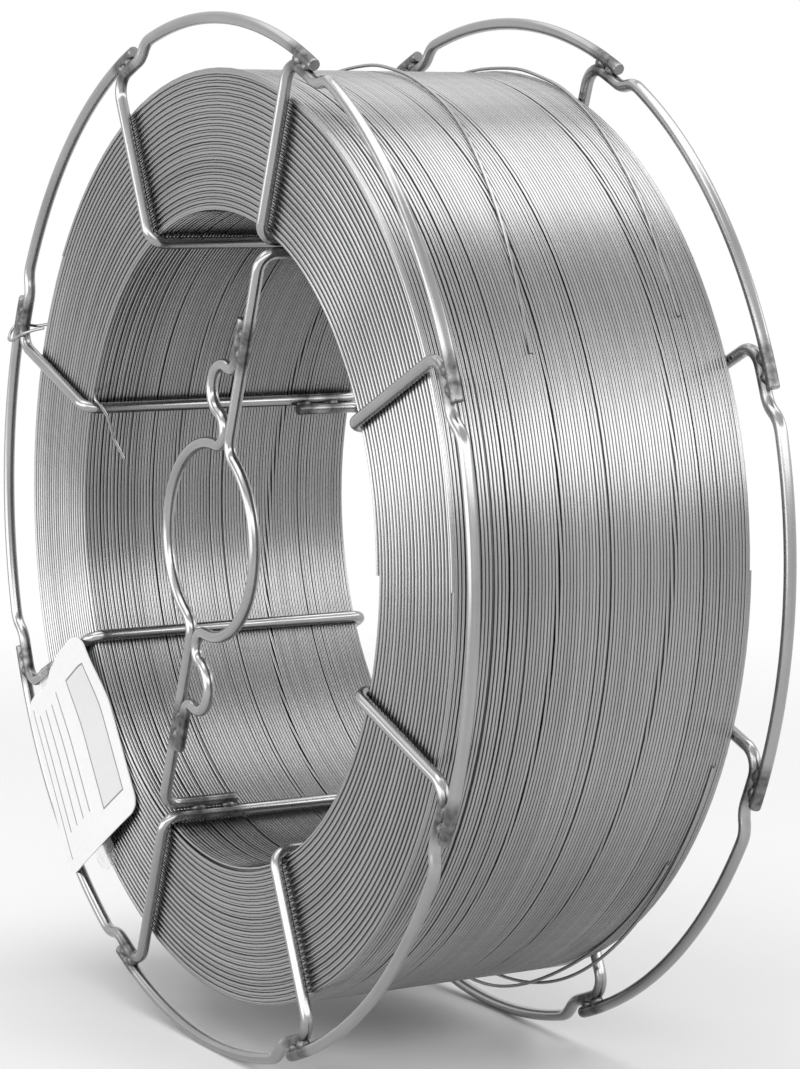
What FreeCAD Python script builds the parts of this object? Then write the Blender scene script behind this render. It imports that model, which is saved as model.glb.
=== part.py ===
import FreeCAD, Part
import os
from math import acos, asin, atan2, cos, degrees, pi, radians, sin, sqrt

import Sketcher

# Wire basket spool with its coil of welding wire, in millimetres.
# The spool's axis is Y, the near flange is at -Y, +Z is up and the origin is the middle of the axis.

os.makedirs("parts", exist_ok=True)
doc = FreeCAD.newDocument("Spool")
V = FreeCAD.Vector

# Driving dimensions
DIMENSIONS = [
    ("outer_diameter", 300, "over the rims of the flanges"),
    ("overall_width", 100, "over the wires of both flanges"),
    ("frame_wire", 3.5, "across the flats of the bent wire of the basket"),
    ("section_sides", 8, "sides of the wire's section"),
    ("wire_count", 8, "bent wires round the basket"),
    ("inner_bend", 5, "radius of a wire's bend from leg to spoke"),
    ("outer_bend", 6, "radius of a wire's bend from spoke to land"),
    ("joggle_bend", 8.5, "radius of both bends that set a wire out to the rim"),
    ("lap", 14.2, "how far a rim's cut end passes the next spoke"),
    ("land", 14.7, "how far a land runs before its joggle"),
    ("weld_gap", 0.2, "clearance between two wires at a weld"),
    ("coil_bore", 188.5, "inside the innermost layer"),
    ("winding_depth", 39.75, "from the innermost layer to the outermost"),
    ("seat_gap", 0.2, "clearance between the coil and the basket"),
    ("end_groove_pitch", 8.66, "five of the ridges that a pair of layers makes"),
    ("end_groove_depth", 0.8, "depth of a groove between ridges"),
    ("end_groove_width", 1.8, "width of a groove at its mouth"),
    ("spindle_bore", 52.5, "inside the two half loops of a hub"),
    ("shoulder_bend", 6, "radius from a hub's bar into its half loop"),
    ("neck_bend", 4.7, "radius between the half loop and the hook"),
    ("driving_hole", 11, "inside the hook"),
    ("driving_radius", 44.5, "from the axis to the hook's centre"),
    ("hook_bend", 4, "radius from the hook into the welded end"),
    ("hub_end", 68, "from the axis to the cut end of a hub wire"),
    ("hub_foot", 24, "length of a hub wire's foot along the leg"),
    ("first_angle", -24.7, "from straight up to the first spoke, clockwise from the near side"),
    ("tag_thickness", 0.6, "card and its clear cover"),
    ("tag_width", 52, "of the card along the spoke that it hangs on"),
    ("tag_length", 60, "from the spoke to the card's free edge"),
    ("tag_corner", 5, "radius of the card's corners"),
    ("tag_radius", 95, "from the axis to the card's corner at the leg"),
    ("tag_cover", 2, "how far the card reaches past the middle of the spoke"),
    ("tag_lean", 10, "degrees that the card hangs out of square with the spoke"),
    ("tag_spoke", 7, "number of the wire that the card hangs on"),
]

sizes = doc.addObject("Spreadsheet::Sheet", "Sizes")
for row, (alias, number, note) in enumerate(DIMENSIONS, start=1):
    sizes.set(f"A{row}", alias)
    sizes.set(f"B{row}", str(number))
    sizes.set(f"C{row}", note)
    sizes.setAlias(f"B{row}", alias)
doc.recompute()

# Lengths that follow from the driving ones
worked = doc.addObject("App::VarSet", "Worked")
EXPRESSIONS = [
    ("rim_radius", "(Sizes.outer_diameter - Sizes.frame_wire) / 2"),
    ("land_radius", "Worked.rim_radius - Sizes.frame_wire - Sizes.weld_gap"),
    ("leg_radius", "(Sizes.coil_bore - Sizes.frame_wire) / 2 - Sizes.seat_gap"),
    ("flange_plane", "(Sizes.overall_width - Sizes.frame_wire) / 2"),
    ("spoke_middle", "(Worked.leg_radius + Worked.land_radius) / 2"),
    ("coil_half", "Worked.flange_plane - Sizes.frame_wire / 2 - Sizes.seat_gap"),
    ("coil_radius", "Sizes.coil_bore / 2 + Sizes.winding_depth"),
    ("corner_relief", "(2 - sqrt(2)) * (Sizes.inner_bend - Sizes.frame_wire / 2 - Sizes.seat_gap)"),
    ("bar_offset", "(Sizes.frame_wire + Sizes.weld_gap) / 2"),
    ("foot_radius", "Worked.leg_radius - sqrt(3) * Worked.bar_offset"),
    ("loop_radius", "(Sizes.spindle_bore + Sizes.frame_wire) / 2"),
    ("hook_radius", "(Sizes.driving_hole + Sizes.frame_wire) / 2"),
    ("bar_middle", "(Worked.foot_radius + Worked.loop_radius) / 2"),
]
for name, expression in EXPRESSIONS:
    worked.addProperty("App::PropertyFloat", name)
    worked.setExpression(name, expression)
doc.recompute()


FULL_TURN = 360


def size(name):
    return float(sizes.get(name))


def spoke_angle(number):
    """Degrees from straight up to a wire's spoke, clockwise as the near side is seen."""
    return size("first_angle") + (number - 1) * FULL_TURN / size("wire_count")


def plane_of(body, role):
    for feature in body.Origin.OriginFeatures:
        if feature.Role == role:
            return feature


def sketch_on(body, name, role, offset):
    """A sketch on one of the body's own planes, moved along its normal by an expression."""
    sketch = body.newObject("Sketcher::SketchObject", name)
    sketch.AttachmentSupport = [(plane_of(body, role), "")]
    sketch.MapMode = "FlatFace"
    sketch.setExpression("AttachmentOffset.Base.z", offset)
    return sketch


def rule(sketch, kind, *places, expression=None, value=None):
    """One constraint, whose size follows an expression where it has one."""
    places = list(places)
    if expression is not None:
        places.append(value)
    index = sketch.addConstraint(Sketcher.Constraint(kind, *places))
    if expression is not None:
        sketch.setExpression(f"Constraints[{index}]", expression)


AXES = -1
START, END, CENTRE = 1, 2, 3


def line(sketch, start, end):
    return sketch.addGeometry(Part.LineSegment(V(*start), V(*end)), False)


def arc(sketch, centre, radius, first, last):
    """An arc that runs anticlockwise from the first to the last angle, in degrees."""
    circle = Part.Circle(V(*centre), V(0, 0, 1), radius)
    return sketch.addGeometry(Part.ArcOfCircle(circle, radians(first), radians(last)), False)


def join(sketch, *ends):
    """Makes each run of a path leave the run before it smoothly."""
    for (run, leaves), (follower, enters) in zip(ends[::2], ends[1::2]):
        rule(sketch, "Tangent", run, leaves, follower, enters)


def section(body, name, role, offset, across, up):
    """The wire's section: a regular polygon about a point that two expressions give."""
    sketch = sketch_on(body, name, role, offset)
    doc.recompute()
    sides = int(size("section_sides"))
    centre = (across[1], up[1], 0)
    flat = size("frame_wire") / 2
    reach = flat / cos(pi / sides)
    corners = []
    for step in range(sides):
        turn = 2 * pi * (step + 0.5) / sides
        corners.append((centre[0] + reach * cos(turn), centre[1] + reach * sin(turn), 0))
    for step in range(sides):
        line(sketch, corners[step], corners[(step + 1) % sides])
    ring = sketch.addGeometry(Part.Circle(V(*centre), V(0, 0, 1), reach), True)
    for step in range(sides):
        rule(sketch, "Coincident", step, END, (step + 1) % sides, START)
        rule(sketch, "PointOnObject", step, START, ring)
    for step in range(1, sides):
        rule(sketch, "Equal", 0, step)
    rule(sketch, "Vertical", sides - 1)
    rule(sketch, "DistanceX", AXES, START, ring, CENTRE, expression=across[0], value=centre[0])
    rule(sketch, "DistanceY", AXES, START, ring, CENTRE, expression=up[0], value=centre[1])
    rule(sketch, "Radius", ring, value=reach,
         expression="Sizes.frame_wire / 2 / cos(180 deg / Sizes.section_sides)")
    return sketch


def pipe(body, name, profile, path):
    feature = body.newObject("PartDesign::AdditivePipe", name)
    feature.Profile = profile
    doc.recompute()
    feature.Spine = (path, [f"Edge{i + 1}" for i in range(len(path.Shape.Edges))])
    profile.Visibility = False
    path.Visibility = False
    doc.recompute()
    return feature


def place(body, label, angle, flips=False):
    """Turns a finished body about the spool's axis, and first end for end where it goes to the far side."""
    body.Label = label
    turn = FreeCAD.Rotation(V(0, 1, 0), angle)
    if flips:
        turn = turn * FreeCAD.Rotation(V(0, 0, 1), 180)
    body.Placement = FreeCAD.Placement(V(0, 0, 0), turn)


def leg_path(body):
    """From the middle of the leg to the flange, and halfway up the spoke."""
    sketch = sketch_on(body, "LegPath", "YZ_Plane", "0")
    height = worked.leg_radius
    turn_at = -(worked.flange_plane - size("inner_bend"))
    leg = line(sketch, (0, height, 0), (turn_at, height, 0))
    bend = arc(sketch, (turn_at, height + size("inner_bend"), 0), size("inner_bend"), 180, 270)
    bend_top = (-worked.flange_plane, height + size("inner_bend"), 0)
    spoke = line(sketch, bend_top, (-worked.flange_plane, worked.spoke_middle, 0))
    join(sketch, (leg, END), (bend, END), (bend, START), (spoke, START))
    rule(sketch, "PointOnObject", leg, START, -2)
    rule(sketch, "Horizontal", leg)
    rule(sketch, "Vertical", spoke)
    rule(sketch, "DistanceY", AXES, START, leg, START, expression="Worked.leg_radius", value=height)
    rule(sketch, "Radius", bend, expression="Sizes.inner_bend", value=size("inner_bend"))
    rule(sketch, "DistanceX", spoke, END, AXES, START,
         expression="Worked.flange_plane", value=worked.flange_plane)
    rule(sketch, "DistanceY", AXES, START, spoke, END,
         expression="Worked.spoke_middle", value=worked.spoke_middle)
    return sketch


def rim_path(body):
    """From halfway up the spoke over the land and the joggle, and round the rim to the cut end."""
    sketch = sketch_on(body, "RimPath", "XZ_Plane", "Worked.flange_plane")
    bend_radius = size("outer_bend")
    joggle_radius = size("joggle_bend")
    inner, outer = worked.land_radius, worked.rim_radius
    bend_height = sqrt((inner - bend_radius) ** 2 - bend_radius**2)
    bend_turn = degrees(atan2(bend_height, bend_radius))
    land_turn = 90 - degrees(asin(size("land") / inner))
    out_reach, back_reach = inner + joggle_radius, outer - joggle_radius
    span = out_reach**2 + back_reach**2 - (2 * joggle_radius) ** 2
    rim_turn = land_turn - degrees(acos(span / (2 * out_reach * back_reach)))
    out_centre = V(out_reach * cos(radians(land_turn)), out_reach * sin(radians(land_turn)), 0)
    back_centre = V(back_reach * cos(radians(rim_turn)), back_reach * sin(radians(rim_turn)), 0)
    across = back_centre - out_centre
    across_turn = degrees(atan2(across.y, across.x))
    cut_turn = 90 - FULL_TURN / size("wire_count") - degrees(asin(size("lap") / outer))

    spoke = line(sketch, (0, worked.spoke_middle, 0), (0, bend_height, 0))
    bend = arc(sketch, (bend_radius, bend_height, 0), bend_radius, bend_turn, 180)
    land = arc(sketch, (0, 0, 0), inner, land_turn, bend_turn)
    out = arc(sketch, out_centre, joggle_radius, land_turn - 180, across_turn)
    back = arc(sketch, back_centre, joggle_radius, rim_turn, across_turn + 180)
    rim = arc(sketch, (0, 0, 0), outer, cut_turn, rim_turn)
    join(sketch, (spoke, END), (bend, END), (bend, START), (land, END), (land, START), (out, START),
         (out, END), (back, END), (back, START), (rim, END))
    rule(sketch, "PointOnObject", spoke, START, -2)
    rule(sketch, "Vertical", spoke)
    rule(sketch, "DistanceY", AXES, START, spoke, START,
         expression="Worked.spoke_middle", value=worked.spoke_middle)
    rule(sketch, "Coincident", land, CENTRE, AXES, START)
    rule(sketch, "Coincident", rim, CENTRE, AXES, START)
    rule(sketch, "Radius", bend, expression="Sizes.outer_bend", value=bend_radius)
    rule(sketch, "Radius", land, expression="Worked.land_radius", value=inner)
    rule(sketch, "Radius", out, expression="Sizes.joggle_bend", value=joggle_radius)
    rule(sketch, "Equal", out, back)
    rule(sketch, "Radius", rim, expression="Worked.rim_radius", value=outer)
    rule(sketch, "DistanceX", AXES, START, land, START, expression="Sizes.land", value=size("land"))
    rule(sketch, "DistanceX", AXES, START, rim, START, value=outer * cos(radians(cut_turn)),
         expression="Worked.rim_radius * sin(360 deg / Sizes.wire_count"
                    " + asin(Sizes.lap / Worked.rim_radius))")
    return sketch


def basket_wire(number):
    """One bent wire: rim, joggle, land and spoke of a flange, the leg, and the same on the other."""
    body = doc.addObject("PartDesign::Body", f"BasketWire{number}")
    legs = leg_path(body)
    rims = rim_path(body)
    middle = section(body, "LegSection", "XZ_Plane", "0", ("0", 0),
                     ("Worked.leg_radius", worked.leg_radius))
    half = section(body, "SpokeSection", "XY_Plane", "Worked.spoke_middle", ("0", 0),
                   ("-Worked.flange_plane", -worked.flange_plane))
    first = pipe(body, "LegAndSpoke", middle, legs)
    second = pipe(body, "LandAndRim", half, rims)
    other = body.newObject("PartDesign::Mirrored", "OtherFlange")
    other.Originals = [first, second]
    other.MirrorPlane = (plane_of(body, "XZ_Plane"), [""])
    body.Tip = other
    place(body, f"basket_wire_{number}", spoke_angle(number))
    return body


def foot_path(body):
    """From the cut end of the foot on the leg to the flange, and along the first half of the bar."""
    sketch = sketch_on(body, "FootPath", "YZ_Plane", "Worked.bar_offset")
    bend_radius = size("inner_bend")
    height = worked.foot_radius
    turn_at = -(worked.flange_plane - bend_radius)
    cut_at = size("hub_foot") - worked.flange_plane
    foot = line(sketch, (cut_at, height, 0), (turn_at, height, 0))
    bend = arc(sketch, (turn_at, height - bend_radius, 0), bend_radius, 90, 180)
    bar = line(sketch, (-worked.flange_plane, height - bend_radius, 0),
               (-worked.flange_plane, worked.bar_middle, 0))
    join(sketch, (foot, END), (bend, START), (bend, END), (bar, START))
    rule(sketch, "Horizontal", foot)
    rule(sketch, "Vertical", bar)
    rule(sketch, "DistanceY", AXES, START, foot, START, expression="Worked.foot_radius", value=height)
    rule(sketch, "DistanceX", bar, END, foot, START, expression="Sizes.hub_foot", value=size("hub_foot"))
    rule(sketch, "Radius", bend, expression="Sizes.inner_bend", value=bend_radius)
    rule(sketch, "DistanceX", bar, END, AXES, START,
         expression="Worked.flange_plane", value=worked.flange_plane)
    rule(sketch, "DistanceY", AXES, START, bar, END,
         expression="Worked.bar_middle", value=worked.bar_middle)
    return sketch


def turn_to(start, end):
    """The direction from one point to another, in degrees."""
    return degrees(atan2(end[1] - start[1], end[0] - start[0]))


def loop_path(body):
    """From the middle of the bar round the half loop and the hook to the welded end."""
    sketch = sketch_on(body, "LoopPath", "XZ_Plane", "Worked.flange_plane")
    offset, loop_radius, hook_radius = worked.bar_offset, worked.loop_radius, worked.hook_radius
    shoulder_radius, neck_radius, end_radius = size("shoulder_bend"), size("neck_bend"), size("hook_bend")
    axis = (0, 0, 0)
    shoulder_across = offset + shoulder_radius
    shoulder_up = sqrt((loop_radius + shoulder_radius) ** 2 - shoulder_across**2)
    shoulder_at = (shoulder_across, shoulder_up, 0)
    neck_reach = loop_radius + neck_radius
    neck_across = offset + neck_radius
    neck_at = (neck_across, -sqrt(neck_reach**2 - neck_across**2), 0)
    hook_reach = size("driving_radius")
    span = neck_reach**2 + hook_reach**2 - (neck_radius + hook_radius) ** 2
    hook_turn = asin(neck_across / neck_reach) - acos(span / (2 * neck_reach * hook_reach))
    hook_at = (hook_reach * sin(hook_turn), -hook_reach * cos(hook_turn), 0)
    end_across = offset + end_radius
    end_drop = sqrt((hook_radius + end_radius) ** 2 - (end_across - hook_at[0]) ** 2)
    end_at = (end_across, hook_at[1] - end_drop, 0)

    bar = line(sketch, (offset, worked.bar_middle, 0), (offset, shoulder_up, 0))
    shoulder = arc(sketch, shoulder_at, shoulder_radius, 180, turn_to(shoulder_at, axis) + 360)
    loop = arc(sketch, axis, loop_radius, turn_to(axis, neck_at), turn_to(axis, shoulder_at))
    neck = arc(sketch, neck_at, neck_radius, turn_to(neck_at, axis), turn_to(neck_at, hook_at) + 360)
    hook = arc(sketch, hook_at, hook_radius, turn_to(hook_at, end_at), turn_to(hook_at, neck_at))
    bend = arc(sketch, end_at, end_radius, turn_to(end_at, hook_at), 180)
    last = line(sketch, (offset, end_at[1], 0), (offset, -size("hub_end"), 0))
    join(sketch, (bar, END), (shoulder, START), (shoulder, END), (loop, END), (loop, START),
         (neck, START), (neck, END), (hook, END), (hook, START), (bend, START), (bend, END), (last, START))
    rule(sketch, "Vertical", bar)
    rule(sketch, "Vertical", last)
    rule(sketch, "Coincident", loop, CENTRE, AXES, START)
    rule(sketch, "DistanceX", AXES, START, bar, START, expression="Worked.bar_offset", value=offset)
    rule(sketch, "DistanceY", AXES, START, bar, START,
         expression="Worked.bar_middle", value=worked.bar_middle)
    rule(sketch, "Radius", shoulder, expression="Sizes.shoulder_bend", value=shoulder_radius)
    rule(sketch, "Radius", loop, expression="Worked.loop_radius", value=loop_radius)
    rule(sketch, "Radius", neck, expression="Sizes.neck_bend", value=neck_radius)
    rule(sketch, "DistanceX", AXES, START, neck, CENTRE, value=neck_across,
         expression="Worked.bar_offset + Sizes.neck_bend")
    rule(sketch, "Radius", hook, expression="Worked.hook_radius", value=hook_radius)
    rule(sketch, "Distance", AXES, START, hook, CENTRE,
         expression="Sizes.driving_radius", value=hook_reach)
    rule(sketch, "Radius", bend, expression="Sizes.hook_bend", value=end_radius)
    rule(sketch, "DistanceX", AXES, START, last, END, expression="Worked.bar_offset", value=offset)
    rule(sketch, "DistanceY", last, END, AXES, START, expression="Sizes.hub_end", value=size("hub_end"))
    return sketch


def hub_wire(side, letter, number, flips):
    """One of a hub's two like wires, with its foot welded to the leg of the basket wire of that number."""
    body = doc.addObject("PartDesign::Body", f"{side.title()}HubWire{letter.title()}")
    feet = foot_path(body)
    loops = loop_path(body)
    cut = section(body, "FootSection", "XZ_Plane", "Worked.flange_plane - Sizes.hub_foot",
                  ("Worked.bar_offset", worked.bar_offset), ("Worked.foot_radius", worked.foot_radius))
    middle = section(body, "BarSection", "XY_Plane", "Worked.bar_middle",
                     ("Worked.bar_offset", worked.bar_offset),
                     ("-Worked.flange_plane", -worked.flange_plane))
    pipe(body, "FootAndBar", cut, feet)
    body.Tip = pipe(body, "LoopAndHook", middle, loops)
    place(body, f"{side}_hub_wire_{letter}", spoke_angle(number), flips)
    return body


def coil():
    """The wound wire as one turned piece, with grooves between the ridges of its ends."""
    body = doc.addObject("PartDesign::Body", "WireCoil")
    ring = sketch_on(body, "Ring", "YZ_Plane", "0")
    inner, outer, half = size("coil_bore") / 2, worked.coil_radius, worked.coil_half
    relief = worked.corner_relief
    corners = [(relief - half, inner, 0), (half - relief, inner, 0), (half, inner + relief, 0),
               (half, outer, 0), (-half, outer, 0), (-half, inner + relief, 0)]
    bore, far_relief, far_end, outside, near_end, near_relief = range(len(corners))
    sides = len(corners)
    for step in range(sides):
        line(ring, corners[step], corners[(step + 1) % sides])
    for step in range(sides):
        rule(ring, "Coincident", step, END, (step + 1) % sides, START)
    for kind, side in (("Horizontal", bore), ("Vertical", far_end), ("Horizontal", outside),
                       ("Vertical", near_end)):
        rule(ring, kind, side)
    rule(ring, "DistanceY", AXES, START, bore, START, expression="Sizes.coil_bore / 2", value=inner)
    rule(ring, "DistanceY", AXES, START, outside, START,
         expression="Worked.coil_radius", value=outer)
    rule(ring, "DistanceX", near_end, START, AXES, START, expression="Worked.coil_half", value=half)
    rule(ring, "DistanceX", AXES, START, far_end, START, expression="Worked.coil_half", value=half)
    for slope, bore_end, face_end in ((far_relief, START, END), (near_relief, END, START)):
        rule(ring, "DistanceY", slope, bore_end, slope, face_end,
             expression="Worked.corner_relief", value=relief)
        rule(ring, "DistanceX", slope, START, slope, END,
             expression="Worked.corner_relief", value=relief)
    turned = body.newObject("PartDesign::Revolution", "Turned")
    turned.Profile = ring
    turned.ReferenceAxis = (ring, ["H_Axis"])
    turned.Angle = FULL_TURN
    doc.recompute()

    valleys = sketch_on(body, "Valleys", "YZ_Plane", "0")
    pitch, deep, wide = size("end_groove_pitch"), size("end_groove_depth"), size("end_groove_width")
    count = int((outer - inner - wide) / pitch)
    for step in range(count):
        middle = inner + pitch * (step + 1)
        points = [(-half, middle - wide / 2, 0), (-half, middle + wide / 2, 0), (deep - half, middle, 0)]
        mouth = line(valleys, points[0], points[1])
        falling = line(valleys, points[1], points[2])
        rising = line(valleys, points[2], points[0])
        for run, follower in ((mouth, falling), (falling, rising), (rising, mouth)):
            rule(valleys, "Coincident", run, END, follower, START)
        rule(valleys, "Vertical", mouth)
        rule(valleys, "Equal", falling, rising)
        rule(valleys, "DistanceX", mouth, START, AXES, START, expression="Worked.coil_half", value=half)
        rule(valleys, "DistanceX", mouth, START, rising, START,
             expression="Sizes.end_groove_depth", value=deep)
        rule(valleys, "DistanceY", AXES, START, rising, START, value=middle,
             expression=f"Sizes.coil_bore / 2 + {step + 1} * Sizes.end_groove_pitch")
        rule(valleys, "DistanceY", mouth, START, mouth, END,
             expression="Sizes.end_groove_width", value=wide)
    cut = body.newObject("PartDesign::Groove", "EndGrooves")
    cut.Profile = valleys
    cut.ReferenceAxis = (valleys, ["H_Axis"])
    cut.Angle = FULL_TURN
    doc.recompute()
    other = body.newObject("PartDesign::Mirrored", "OtherEnd")
    other.Originals = [cut]
    other.MirrorPlane = (plane_of(body, "XZ_Plane"), [""])
    body.Tip = other
    body.Label = "wire_coil"
    return body


def tag():
    """The card that hangs on a spoke, outside the near flange."""
    body = doc.addObject("PartDesign::Body", "LabelTag")
    card = sketch_on(body, "Card", "XZ_Plane", "Sizes.overall_width / 2 + Sizes.seat_gap")
    lean = radians(size("tag_lean"))
    along = V(-sin(lean), cos(lean), 0) * size("tag_width")
    down = V(-cos(lean), -sin(lean), 0) * size("tag_length")
    first = V(size("tag_cover"), size("tag_radius"), 0)
    corners = [first, first + along, first + along + down, first + down]
    hung, top, free, bottom = range(len(corners))
    for step in range(len(corners)):
        line(card, corners[step], corners[(step + 1) % len(corners)])
    for edge, follower in ((hung, top), (top, free), (free, bottom), (bottom, hung)):
        rule(card, "Coincident", edge, END, follower, START)
    rule(card, "Perpendicular", hung, top)
    rule(card, "Parallel", hung, free)
    rule(card, "Parallel", top, bottom)
    rule(card, "DistanceX", AXES, START, hung, START, expression="Sizes.tag_cover", value=first.x)
    rule(card, "DistanceY", AXES, START, hung, START, expression="Sizes.tag_radius", value=first.y)
    rule(card, "DistanceY", hung, START, hung, END, value=along.y,
         expression="Sizes.tag_width * cos(Sizes.tag_lean * 1 deg)")
    rule(card, "Distance", hung, START, hung, END, expression="Sizes.tag_width", value=size("tag_width"))
    rule(card, "Distance", top, START, top, END, expression="Sizes.tag_length", value=size("tag_length"))
    sheet = body.newObject("PartDesign::Pad", "Sheet")
    sheet.Profile = card
    sheet.setExpression("Length", "Sizes.tag_thickness")
    doc.recompute()
    rounds = body.newObject("PartDesign::Fillet", "Corners")
    edges = sheet.Shape.Edges
    thin = [f"Edge{i + 1}" for i, edge in enumerate(edges) if edge.Length < 2 * size("tag_thickness")]
    rounds.Base = (sheet, thin)
    rounds.setExpression("Radius", "Sizes.tag_corner")
    body.Tip = rounds
    place(body, "label_tag", spoke_angle(size("tag_spoke")))
    return body


subparts = [coil(), tag()]
subparts += [basket_wire(number) for number in range(1, int(size("wire_count")) + 1)]
subparts.append(hub_wire("near", "a", 2, False))
subparts.append(hub_wire("near", "b", 6, False))
subparts.append(hub_wire("far", "a", 4, True))
subparts.append(hub_wire("far", "b", 8, True))
doc.recompute()

faults = [thing.Name for thing in doc.Objects if "Invalid" in thing.State or "Error" in thing.State]
faults += [body.Label for body in subparts if body.Shape.isNull() or not body.Shape.isValid()]
if faults:
    raise RuntimeError(f"these didn't build: {faults}")
for body in subparts:
    body.Shape.exportStep(f"parts/{body.Label}.step")
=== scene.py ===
import math

import bmesh
import bpy
from mathutils import Matrix, Vector


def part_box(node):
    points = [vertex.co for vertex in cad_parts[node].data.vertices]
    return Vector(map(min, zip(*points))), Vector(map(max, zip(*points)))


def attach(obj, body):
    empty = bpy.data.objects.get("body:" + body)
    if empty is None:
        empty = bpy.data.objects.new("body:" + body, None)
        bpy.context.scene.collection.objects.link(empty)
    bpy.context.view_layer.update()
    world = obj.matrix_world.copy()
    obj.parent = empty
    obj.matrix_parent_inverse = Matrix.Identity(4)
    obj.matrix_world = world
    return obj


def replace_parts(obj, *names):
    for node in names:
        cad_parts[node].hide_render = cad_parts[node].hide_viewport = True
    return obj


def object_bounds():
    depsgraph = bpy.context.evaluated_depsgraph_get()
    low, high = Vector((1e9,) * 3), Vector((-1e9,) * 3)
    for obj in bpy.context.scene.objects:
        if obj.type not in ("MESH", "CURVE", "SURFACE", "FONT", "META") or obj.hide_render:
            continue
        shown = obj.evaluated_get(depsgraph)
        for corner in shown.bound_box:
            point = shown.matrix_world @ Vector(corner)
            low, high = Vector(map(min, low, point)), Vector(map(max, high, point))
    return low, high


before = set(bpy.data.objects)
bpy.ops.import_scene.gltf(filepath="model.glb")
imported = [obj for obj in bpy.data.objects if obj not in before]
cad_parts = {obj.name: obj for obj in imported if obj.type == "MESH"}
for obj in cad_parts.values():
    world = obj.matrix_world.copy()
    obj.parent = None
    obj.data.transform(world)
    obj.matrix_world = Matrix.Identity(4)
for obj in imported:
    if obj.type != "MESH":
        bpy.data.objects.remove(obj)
cad_box = [list(corner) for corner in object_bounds()]

# The basket's eight bent wires
# Drawn steel wire 3.5 mm thick, each piece bent from one length: rim, joggle, land and spoke
# of the near flange, the leg through the coil's bore, and the same on the far flange.
# A rim's cut end lies outside the next wire's land and is spot welded to it there.
mm = 0.001
wire_radius = 1.75 * mm
wire_count = 8
first_spoke = -24.7
rim_radius = cad_box[1][2] - wire_radius
weld_gap = 0.2 * mm
land_radius = rim_radius - 2 * wire_radius - weld_gap
flange_plane = 48.25 * mm
leg_radius = 92.3 * mm
corner_bend = 5 * mm
spoke_bend = 6 * mm
joggle_bend = 8.5 * mm
land_reach = 14.7 * mm
lap_reach = 14.2 * mm
path_step = 1.5 * mm
shear_length = 0.4 * mm
burn_core, burn_reach = 2.2 * mm, 6 * mm


def make_tree(name, inputs):
    """A geometry tree with its inputs by name, and the sockets that hold them."""
    tree = bpy.data.node_groups.new(name, "GeometryNodeTree")
    tree.interface.new_socket("Geometry", in_out="OUTPUT", socket_type="NodeSocketGeometry")
    for label, kind, value in inputs:
        socket = tree.interface.new_socket(label, in_out="INPUT", socket_type=f"NodeSocket{kind}")
        if value is not None:
            socket.default_value = value
    return tree, tree.nodes.new("NodeGroupInput").outputs


def add(tree, kind, settings=(), **sockets):
    """Adds a node, with its sockets linked or set by name, and gives its outputs."""
    made = tree.nodes.new(kind)
    for key, value in dict(settings).items():
        setattr(made, key, value)
    for label, value in sockets.items():
        socket = made.inputs[label.replace("_", " ")]
        if isinstance(value, bpy.types.NodeSocket):
            tree.links.new(value, socket)
        else:
            socket.default_value = value
    return made.outputs


def maths(tree, operation, *values, kind="ShaderNodeMath"):
    """A maths node on the values, which are numbers or sockets."""
    made = tree.nodes.new(kind)
    made.operation = operation
    for socket, value in zip(made.inputs, values):
        if isinstance(value, bpy.types.NodeSocket):
            tree.links.new(value, socket)
        else:
            socket.default_value = value
    return made.outputs[0]


def spread(tree, value, low, high, to_low, to_high):
    """The value taken from one range to another."""
    return add(tree, "ShaderNodeMapRange", Value=value, From_Min=low, From_Max=high,
               To_Min=to_low, To_Max=to_high)["Result"]


def store(tree, geometry, name, value):
    """Keeps a value on each point of the geometry under a name."""
    return add(tree, "GeometryNodeStoreNamedAttribute", {"domain": "POINT", "data_type": "FLOAT"},
               Geometry=geometry, Name=name, Value=value)["Geometry"]


def end_tree(tree, geometry, material):
    """Realizes what the tree made, smooths it, gives it the material and puts it out."""
    real = add(tree, "GeometryNodeRealizeInstances", Geometry=geometry)["Geometry"]
    real = add(tree, "GeometryNodeSetShadeSmooth", Geometry=real, Shade_Smooth=True)["Geometry"]
    shown = add(tree, "GeometryNodeSetMaterial", Geometry=real, Material=material)["Geometry"]
    out = tree.nodes.new("NodeGroupOutput")
    tree.links.new(shown, out.inputs["Geometry"])


def keep(piece):
    """Lets a finished piece ride on the part."""
    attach(piece, "root")
    return piece


def grow(name, mesh, tree, values):
    """Runs a tree on a mesh and keeps the result as a plain mesh."""
    piece = bpy.data.objects.new(name, mesh)
    bpy.context.scene.collection.objects.link(piece)
    modifier = piece.modifiers.new("Grow", "NODES")
    modifier.node_group = tree
    for item in tree.interface.items_tree:
        if item.in_out == "INPUT" and item.name in values:
            modifier[item.identifier] = values[item.name]
    evaluated = piece.evaluated_get(bpy.context.evaluated_depsgraph_get())
    grown = bpy.data.meshes.new_from_object(evaluated)
    piece.modifiers.remove(modifier)
    piece.data = grown
    grown.name = name
    return keep(piece)


def points_mesh(name, spots, edges=(), **values):
    """A mesh of points and edges, with a named number on each point."""
    mesh = bpy.data.meshes.new(name)
    mesh.from_pydata(spots, list(edges), [])
    for label, numbers in values.items():
        mesh.attributes.new(label, "FLOAT", "POINT").data.foreach_set("value", numbers)
    return mesh


def arc(centre, radius, first, last, step):
    """Points round a centre from the first to the last angle in degrees, with a step in between."""
    count = max(2, math.ceil(abs(last - first) / step))
    turns = [math.radians(first + (last - first) * part / count) for part in range(count + 1)]
    return [(centre[0] + radius * math.cos(t), centre[1] + radius * math.sin(t)) for t in turns]


def turned(points, angle):
    """The points turned about the spool's axis, clockwise as the near side is seen."""
    turn = Matrix.Rotation(math.radians(angle), 3, "Y")
    return [turn @ Vector(point) for point in points]


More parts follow.
